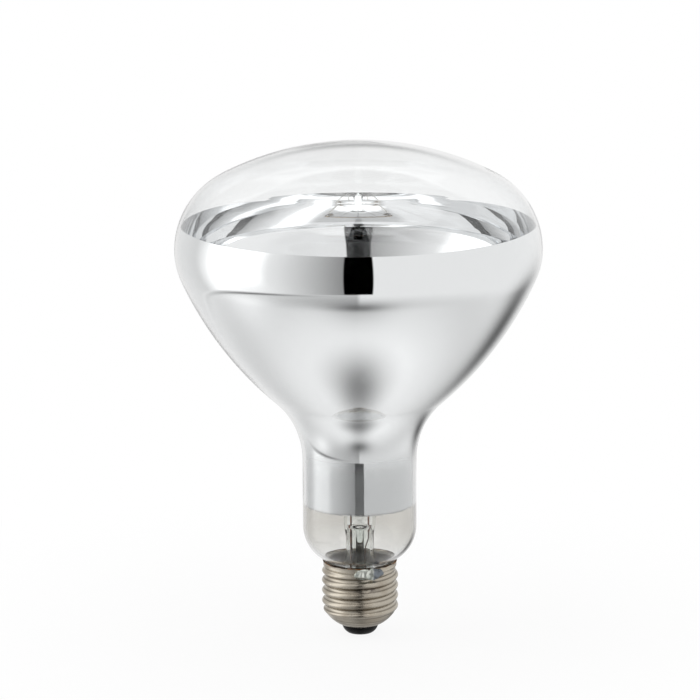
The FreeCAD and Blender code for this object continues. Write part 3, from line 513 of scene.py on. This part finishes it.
def bulbGlass():
    material, graph, shader = newMaterial("bulbGlass", {"Transmission Weight": 1.0, "IOR": 1.5})
    wave = graph.noise(28.0, 1.0)
    graph.feed(shader.inputs["Roughness"], graph.noise(180.0, 2.0) * 0.01)
    graph.feed(shader.inputs["Normal"], graph.bump(wave, 0.12, 0.001))
    z = graph.place("Z")[0]
    haze = graph.rise(z, *bulb["hazeLow"]) * (1 - graph.rise(z, *bulb["hazeHigh"]))
    tint = graph.mix(haze, (0.985, 0.99, 0.99, 1.0), (0.745, 0.735, 0.71, 1.0))
    graph.feed(shader.inputs["Base Color"], tint)
    return material


def mirrorFilm():
    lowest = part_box("mirror_coating")[0].z
    material, graph, shader = newMaterial("mirrorFilm", {})
    z = graph.place("Z")[0]
    ragged = (graph.noise(420.0, 2.0) - 0.5) * bulb["filmRagged"]
    start, end = bulb["filmEdge"]
    edge = graph.rise(z + ragged, lowest + start, lowest + end)
    thin = 1 - graph.rise(z, *bulb["thinFilm"])
    colour = graph.mix(thin, (0.93, 0.935, 0.94, 1.0), (0.79, 0.8, 0.805, 1.0))
    graph.feed(shader.inputs["Base Color"], colour)
    graph.feed(shader.inputs["Roughness"], graph.noise(90.0, 3.0) * 0.03 + 0.01)
    graph.feed(shader.inputs["Metallic"], 1 - thin * 0.5)
    graph.feed(shader.inputs["Alpha"], edge)
    graph.feed(shader.inputs["Normal"], graph.bump(graph.noise(30.0, 1.0), 0.1, 0.001))
    return material


def makeBulb():
    outer, inner = bulbLine(0.0), bulbLine(bulb["wall"])
    mesh = turned("bulb_glass", outer + inner[::-1], bulb["around"])
    newPiece("bulb_glass", mesh, bulbGlass(), ["glass_envelope"])
    low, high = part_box("mirror_coating")
    depth = bulb["wall"] + bulb["filmGap"]
    outer = cutLine(bulbLine(depth), low.z, high.z)
    inner = cutLine(bulbLine(depth + bulb["film"]), low.z, high.z)
    mesh = turned("mirror_film", outer + inner[::-1], bulb["around"])
    newPiece("mirror_film", mesh, mirrorFilm(), ["mirror_coating"])
    print("bulb and mirror made")


makeBulb()

# The screw cap
cap = {
    "hole": 6.5 * mm,
    "holeHeight": 3.3 * mm,
    "taperTop": 8.0 * mm,
    "taperRadius": 12.0 * mm,
    "root": 12.1 * mm,
    "crest": 13.2 * mm,
    "bandLow": 23.7 * mm,
    "band": 12.65 * mm,
    "rim": 12.85 * mm,
    "rimHeight": 26.2 * mm,
    "flare": 0.8 * mm,
    "sheet": 0.3 * mm,
    "pitch": 3.629 * mm,
    "firstCrest": 9.95 * mm,              # the lowest whole crest on the +X side
    "fullness": 0.85,                     # under 1 makes the crests wider than the roots
    "fade": 1.0 * mm,
    "around": 240,
    "row": 0.2 * mm,
    "paintedSlopeShade": (0.36, 0.17),            # painted shade on the thread's slopes: share of the crest's height, width
    # soft ends of the painted slope shade along the cap
    "slopeShadeEdge": 0.6 * mm,
    "foldShadeLines": (6.4 * mm, 5.3 * mm),    # painted shade lines for the fine rolled lines under the thread
    # width of the painted shade lines
    "foldShadeWidth": 0.2 * mm,
    "smear": (2.0 * mm, 3.6 * mm, 18.4 * mm, 1.0 * mm),   # X, width, Z, width
    "smearFront": (0.0, 4.0 * mm),        # it fades in between these, towards the front
    "stain": (25.9 * mm, 26.2 * mm),      # brown stain along the rim
    "stainRagged": 0.7 * mm,
}


def openTree(name, floats, whole=()):
    # a geometry tree with named inputs, the last of them its material
    tree = bpy.data.node_groups.new(name, "GeometryNodeTree")
    kinds = {"Geometry": "Geometry"} | dict.fromkeys(floats, "Float")
    kinds |= dict.fromkeys(whole, "Int") | {"Material": "Material"}
    names = {}
    for title, kind in kinds.items():
        made = tree.interface.new_socket(title, in_out="INPUT", socket_type=f"NodeSocket{kind}")
        names[title] = made.identifier
    tree.interface.new_socket("Geometry", in_out="OUTPUT", socket_type="NodeSocketGeometry")
    graph = Graph(tree)
    entry = tree.nodes.new("NodeGroupInput")
    given = {socket.name: Link(graph, socket) for socket in entry.outputs if socket.name}
    return graph, given, names


def closeTree(graph, shape, given):
    # realised and painted, so that the export keeps it
    real = graph.node("GeometryNodeRealizeInstances", None, {0: shape})
    values = {"Geometry": real, "Material": given["Material"]}
    painted = graph.node("GeometryNodeSetMaterial", None, values)
    leave = graph.tree.nodes.new("NodeGroupOutput")
    graph.feed(leave.inputs[0], painted)
    return graph.tree


def threadTree():
    # moves the points of a turned sheet outwards along a right-hand helix
    floats = ("Pitch", "Depth", "First Crest", "Low End", "High End", "Fade")
    graph, given, names = openTree("rolledThread", floats)
    x, y, z = graph.split(graph.node("GeometryNodeInputPosition"))
    turn = x.maths("ARCTAN2", y, x) / (2 * math.pi)
    phase = (z - given["First Crest"]) / given["Pitch"] - turn
    wave = (phase.maths("COSINE", phase * (2 * math.pi)) * 0.5 + 0.5) ** cap["fullness"]
    starts = graph.rise(z, given["Low End"], given["Low End"] + given["Fade"])
    ends = graph.rise(z, given["High End"] - given["Fade"], given["High End"])
    lift = wave * starts * (1 - ends) * given["Depth"]
    reach = x.maths("SQRT", x * x + y * y)
    out = graph.node("ShaderNodeCombineXYZ", None, {0: x / reach * lift, 1: y / reach * lift})
    values = {"Geometry": given["Geometry"], "Offset": out}
    moved = graph.node("GeometryNodeSetPosition", None, values)
    return closeTree(graph, moved, given), names


def openTurned(name, outline, around):
    # an open sheet from an outline, its faces outwards when the outline runs upwards
    points, faces = [], []
    for across, up in outline:
        for step in range(around):
            turn = 2 * math.pi * step / around
            points.append((across * math.cos(turn), across * math.sin(turn), up))
    for row in range(len(outline) - 1):
        for step in range(around):
            after = (step + 1) % around
            here, ahead = row * around, (row + 1) * around
            faces.append([here + step, here + after, ahead + after, ahead + step])
    return meshFrom(name, points, faces)


def withModifiers(name, mesh, tree, values, thickness=None):
    piece = bpy.data.objects.new(name, mesh)
    scene.collection.objects.link(piece)
    nodes = piece.modifiers.new("nodes", "NODES")
    nodes.node_group = tree
    for identifier, value in values.items():
        nodes[identifier] = value
    if thickness:
        wall = piece.modifiers.new("wall", "SOLIDIFY")
        wall.thickness = thickness
        wall.offset = -1.0
        wall.use_rim = True
    return plainMesh(piece, name)


def capMetal():
    material, graph, shader = newMaterial("capMetal", {"Metallic": 1.0})
    x, y, z = graph.place()
    marks = graph.noise(260.0, 3.0, (1.0, 1.0, 14.0))
    dull = graph.noise(120.0, 4.0)
    patches = graph.rise(dull, 0.4, 0.7)
    colour = graph.mix(patches, (0.53, 0.485, 0.41, 1.0), (0.42, 0.37, 0.30, 1.0))
    # painted shade in the two slopes beside each crest
    phase = (z - cap["firstCrest"]) / cap["pitch"] - x.maths("ARCTAN2", y, x) / (2 * math.pi)
    crest = phase.maths("COSINE", phase * (2 * math.pi)) * 0.5 + 0.5
    threaded = graph.window(z, cap["taperTop"], cap["bandLow"], cap["slopeShadeEdge"])
    slopeShade = graph.bell(crest, *cap["paintedSlopeShade"]) * threaded * (0.55 + dull * 0.5)
    # painted shade lines on the rolled lines under the thread
    upper, lower = [graph.bell(z, height, cap["foldShadeWidth"]) for height in cap["foldShadeLines"]]
    colour = graph.mix(slopeShade + (upper + lower) * 0.6, colour, (0.13, 0.11, 0.085, 1.0))
    # a brown smear under the solder
    across, width, height, tall = cap["smear"]
    smear = graph.bell(x, across, width) * graph.bell(z, height, tall)
    smear = smear * graph.rise(-y, *cap["smearFront"])
    smear = smear * graph.rise(graph.noise(420.0, 3.0), 0.35, 0.5)
    colour = graph.mix(smear, colour, (0.09, 0.075, 0.07, 1.0))
    ragged = (graph.noise(300.0, 3.0) - 0.5) * cap["stainRagged"]
    rimStain = graph.rise(z + ragged, *cap["stain"])
    rust = graph.rise(graph.noise(160.0, 2.0), 0.45, 0.6)
    brown = graph.mix(rust, (0.06, 0.028, 0.014, 1.0), (0.34, 0.14, 0.03, 1.0))
    colour = graph.mix(rimStain, colour, brown)
    graph.feed(shader.inputs["Base Color"], colour)
    graph.feed(shader.inputs["Roughness"], marks * 0.2 + 0.17 + rimStain * 0.4)
    graph.feed(shader.inputs["Normal"], graph.bump(marks, 0.25, 0.00005))
    return material


def makeCap():
    hole, root, low = cap["hole"], cap["root"], cap["holeHeight"]
    chord = Vector((root - hole, cap["taperTop"] - low))
    rise = math.sqrt(cap["taperRadius"]**2 - (chord.length / 2)**2)
    middle = Vector((hole, low)) + chord / 2 + Vector((-chord.y, chord.x)).normalized() * rise
    first = math.atan2(low - middle.y, hole - middle.x)
    last = math.atan2(cap["taperTop"] - middle.y, root - middle.x)
    row, high, flare = cap["row"], cap["rimHeight"], cap["flare"]
    outline = chain(
        arcPoints(middle, cap["taperRadius"], first, last, row),
        linePoints((root, cap["taperTop"]), (root, cap["bandLow"]), row),
        linePoints((root, cap["bandLow"]), (cap["band"], cap["bandLow"] + flare), row),
        linePoints((cap["band"], cap["bandLow"] + flare), (cap["band"], high - flare), row),
        linePoints((cap["band"], high - flare), (cap["rim"], high), row),
    )
    metal = capMetal()
    tree, names = threadTree()
    values = {
        names["Pitch"]: cap["pitch"],
        names["Depth"]: cap["crest"] - root,
        names["First Crest"]: cap["firstCrest"],
        names["Low End"]: cap["taperTop"] - cap["fade"] / 2,
        names["High End"]: cap["bandLow"] + cap["fade"] / 2,
        names["Fade"]: 2 * cap["fade"],
        names["Material"]: metal,
    }
    sheet = openTurned("screw_shell_sheet", outline, cap["around"])
    mesh = withModifiers("rolled_screw_shell", sheet, tree, values, cap["sheet"])
    newPiece("rolled_screw_shell", mesh, metal, ["screw_shell"], 50.0)
    print("screw cap rolled")


makeCap()

# The foot of the cap
def blackGlass():
    # the low IOR keeps it as black as in the photo
    material, graph, shader = newMaterial("blackGlass", {"IOR": 1.25})
    speck = graph.noise(900.0, 4.0)
    colour = graph.mix(speck, (0.004, 0.004, 0.005, 1.0), (0.012, 0.011, 0.012, 1.0))
    graph.feed(shader.inputs["Base Color"], colour)
    graph.feed(shader.inputs["Roughness"], speck * 0.12 + 0.04)
    graph.feed(shader.inputs["Normal"], graph.bump(graph.noise(350.0, 2.0), 0.15, 0.0003))
    return material


def contactBrass():
    material, graph, shader = newMaterial("contactBrass", {"Metallic": 1.0})
    wear = graph.noise(700.0, 4.0)
    colour = graph.mix(wear, (0.62, 0.5, 0.27, 1.0), (0.42, 0.33, 0.19, 1.0))
    graph.feed(shader.inputs["Base Color"], colour)
    graph.feed(shader.inputs["Roughness"], wear * 0.2 + 0.2)
    return material


solderBead = {
    "lumps": (1.3 * mm, 0.45 * mm),       # size, depth
    "tinned": (4.2 * mm, 5.0 * mm),       # the bead is tinned dark past this X
    "tinnedRagged": 2.0 * mm,
    "tinnedAbove": (10.0 * mm, 12.0 * mm),
}


def solderMetal():
    material, graph, shader = newMaterial("solderMetal", {"Metallic": 1.0})
    grain = graph.noise(800.0, 5.0)
    cloud = graph.rise(graph.noise(420.0, 3.0), 0.42, 0.62)
    x, z = graph.place("XZ")
    colour = graph.mix(cloud, (0.8, 0.82, 0.76, 1.0), (0.5, 0.53, 0.49, 1.0))
    ragged = (graph.noise(600.0, 3.0) - 0.5) * solderBead["tinnedRagged"]
    tinned = graph.rise(x + ragged, *solderBead["tinned"])
    tinned = tinned * graph.rise(z, *solderBead["tinnedAbove"])
    graph.feed(shader.inputs["Base Color"], graph.mix(tinned, colour, (0.2, 0.22, 0.245, 1.0)))
    graph.feed(shader.inputs["Roughness"], grain * 0.3 + 0.2)
    graph.feed(shader.inputs["Normal"], graph.bump(grain, 0.35, 0.0003))
    return material


def basingCement():
    material, graph, shader = newMaterial("basingCement", {})
    grain = graph.noise(1300.0, 6.0)
    cloud = graph.noise(260.0, 3.0)
    colour = graph.mix(cloud, (0.3, 0.25, 0.2, 1.0), (0.75, 0.68, 0.59, 1.0))
    graph.feed(shader.inputs["Base Color"], colour)
    graph.feed(shader.inputs["Roughness"], grain * 0.25 + 0.65)
    graph.feed(shader.inputs["Normal"], graph.bump(grain, 0.7, 0.0002))
    return material


solder = solderMetal()
smoothCopy("base_insulator", "insulator_glass", blackGlass())
smoothCopy("centre_contact", "centre_contact_plate", contactBrass())
smoothCopy("centre_solder", "centre_solder_bead", solder)
smoothCopy("side_solder", "side_solder_bead", solder, lumps=solderBead["lumps"])
smoothCopy("basing_cement", "cement_ring", basingCement())

# Stem, rod and wires
stem = {
    "glassIor": 1.28,         # both lower than in real glass, as faint as in the photo
    "tubeIor": 1.08,
}


def stemGlass(name, ior):
    material, graph, shader = newMaterial(name, {"Transmission Weight": 1.0, "IOR": ior})
    tint = graph.mix(graph.noise(200.0, 2.0), (0.96, 0.97, 0.96, 1.0), (0.9, 0.92, 0.91, 1.0))
    graph.feed(shader.inputs["Base Color"], tint)
    graph.feed(shader.inputs["Roughness"], graph.noise(300.0, 2.0) * 0.03)
    graph.feed(shader.inputs["Normal"], graph.bump(graph.noise(160.0, 2.0), 0.15, 0.0004))
    return material


def wireMetal(name, bright, dark, roughness):
    material, graph, shader = newMaterial(name, {"Metallic": 1.0})
    patch = graph.rise(graph.noise(500.0, 4.0), 0.35, 0.65)
    graph.feed(shader.inputs["Base Color"], graph.mix(patch, (*bright, 1.0), (*dark, 1.0)))
    graph.feed(shader.inputs["Roughness"], patch * 0.2 + roughness)
    return material


glass = stemGlass("stemGlass", stem["glassIor"])
tubeGlass = stemGlass("tubeGlass", stem["tubeIor"])
smoothCopy("glass_stem", "stem_glass_tube", glass)
smoothCopy("exhaust_tube", "exhaust_glass_tube", tubeGlass)
smoothCopy("arbor_rod", "arbor_glass_rod", glass)

sealMetal = wireMetal("sealMetal", (0.55, 0.24, 0.15), (0.3, 0.12, 0.08), 0.3)
copper = wireMetal("brownCopper", (0.22, 0.13, 0.09), (0.08, 0.05, 0.04), 0.35)
nickel = wireMetal("nickelWire", (0.82, 0.81, 0.78), (0.68, 0.67, 0.64), 0.15)
clampMetal = wireMetal("clampMetal", (0.34, 0.33, 0.31), (0.2, 0.19, 0.18), 0.35)
tungsten = wireMetal("tungstenWire", (0.46, 0.35, 0.22), (0.3, 0.22, 0.14), 0.35)
support = wireMetal("supportWire", (0.45, 0.45, 0.46), (0.28, 0.28, 0.29), 0.3)
wires = [
    ("seal_wire_centre", sealMetal, "seal_wire"),
    ("seal_wire_side", sealMetal, "seal_wire"),
    ("centre_lead", copper, "copper_lead"),
    ("side_lead", copper, "copper_lead"),
    ("inner_lead_centre", nickel, "nickel_lead"),
    ("inner_lead_side", nickel, "nickel_lead"),
    ("filament_clamp_centre", clampMetal, "nickel_lead"),
    ("filament_clamp_side", clampMetal, "nickel_lead"),
]
supports = [name for name in sorted(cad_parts) if name.startswith("support_wire")]
wires += [(name, support, "support_metal") for name in supports]
for node, metal, slot in wires:
    smoothCopy(node, f"{node}_drawn", metal)
print("stem and wires made")

# The filament
filament = {
    "wire": 0.18 * mm,       # radius of the wire
    "fullness": 1.4,         # the coil's outer radius against that of the bar in the CAD
    "gap": 85.0,             # degrees left open between the ring's ends, at the back
    "turns": 150,
    "steps": 16,             # along each turn
    "sides": 5,
}


def coilTree():
    floats = ("Ring Radius", "Coil Radius", "Wire Radius", "Height")
    floats += ("First Angle", "Last Angle", "Turns")
    graph, given, names = openTree("filamentCoil", floats, ("Steps", "Sides"))
    count = given["Turns"] * given["Steps"]
    line = graph.node("GeometryNodeMeshLine", {"mode": "OFFSET"}, {"Count": count})
    share = graph.node("GeometryNodeInputIndex") / count
    around = given["First Angle"] + (given["Last Angle"] - given["First Angle"]) * share
    winding = share * given["Turns"] * (2 * math.pi)
    across = given["Ring Radius"] + given["Coil Radius"] * winding.maths("COSINE", winding)
    up = given["Height"] + given["Coil Radius"] * winding.maths("SINE", winding)
    east = across * around.maths("COSINE", around)
    north = across * around.maths("SINE", around)
    spot = graph.node("ShaderNodeCombineXYZ", None, {0: east, 1: north, 2: up})
    wound = graph.node("GeometryNodeSetPosition", None, {"Geometry": line, "Position": spot})
    curve = graph.node("GeometryNodeMeshToCurve", None, {0: wound})
    values = {"Resolution": given["Sides"], "Radius": given["Wire Radius"]}
    ring = graph.node("GeometryNodeCurvePrimitiveCircle", {"mode": "RADIUS"}, values)
    values = {"Curve": curve, "Profile Curve": ring, "Fill Caps": True}
    bar = graph.node("GeometryNodeCurveToMesh", None, values)
    return closeTree(graph, bar, given), names


def makeFilament():
    low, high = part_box("filament")
    coil = (high.z - low.z) / 2
    tree, names = coilTree()
    opening = math.radians(filament["gap"] / 2)
    values = {
        names["Ring Radius"]: high.x - coil,
        names["Coil Radius"]: coil * filament["fullness"] - filament["wire"],
        names["Wire Radius"]: filament["wire"],
        names["Height"]: low.z + coil,
        names["First Angle"]: math.pi / 2 + opening,
        names["Last Angle"]: math.pi * 2.5 - opening,
        names["Turns"]: float(filament["turns"]),
        names["Steps"]: filament["steps"],
        names["Sides"]: filament["sides"],
        names["Material"]: tungsten,
    }
    mesh = withModifiers("filament_coil", bpy.data.meshes.new("seed"), tree, values)
    newPiece("filament_coil", mesh, tungsten, ["filament"], 60.0)
    print("filament wound")


makeFilament()

# The looks need many bounces between mirror and glass
scene.view_settings.view_transform = "Standard"
scene.cycles.max_bounces = 32
scene.cycles.glossy_bounces = 24
scene.cycles.transmission_bounces = 24
scene.cycles.transparent_max_bounces = 24

bpy.context.view_layer.update()
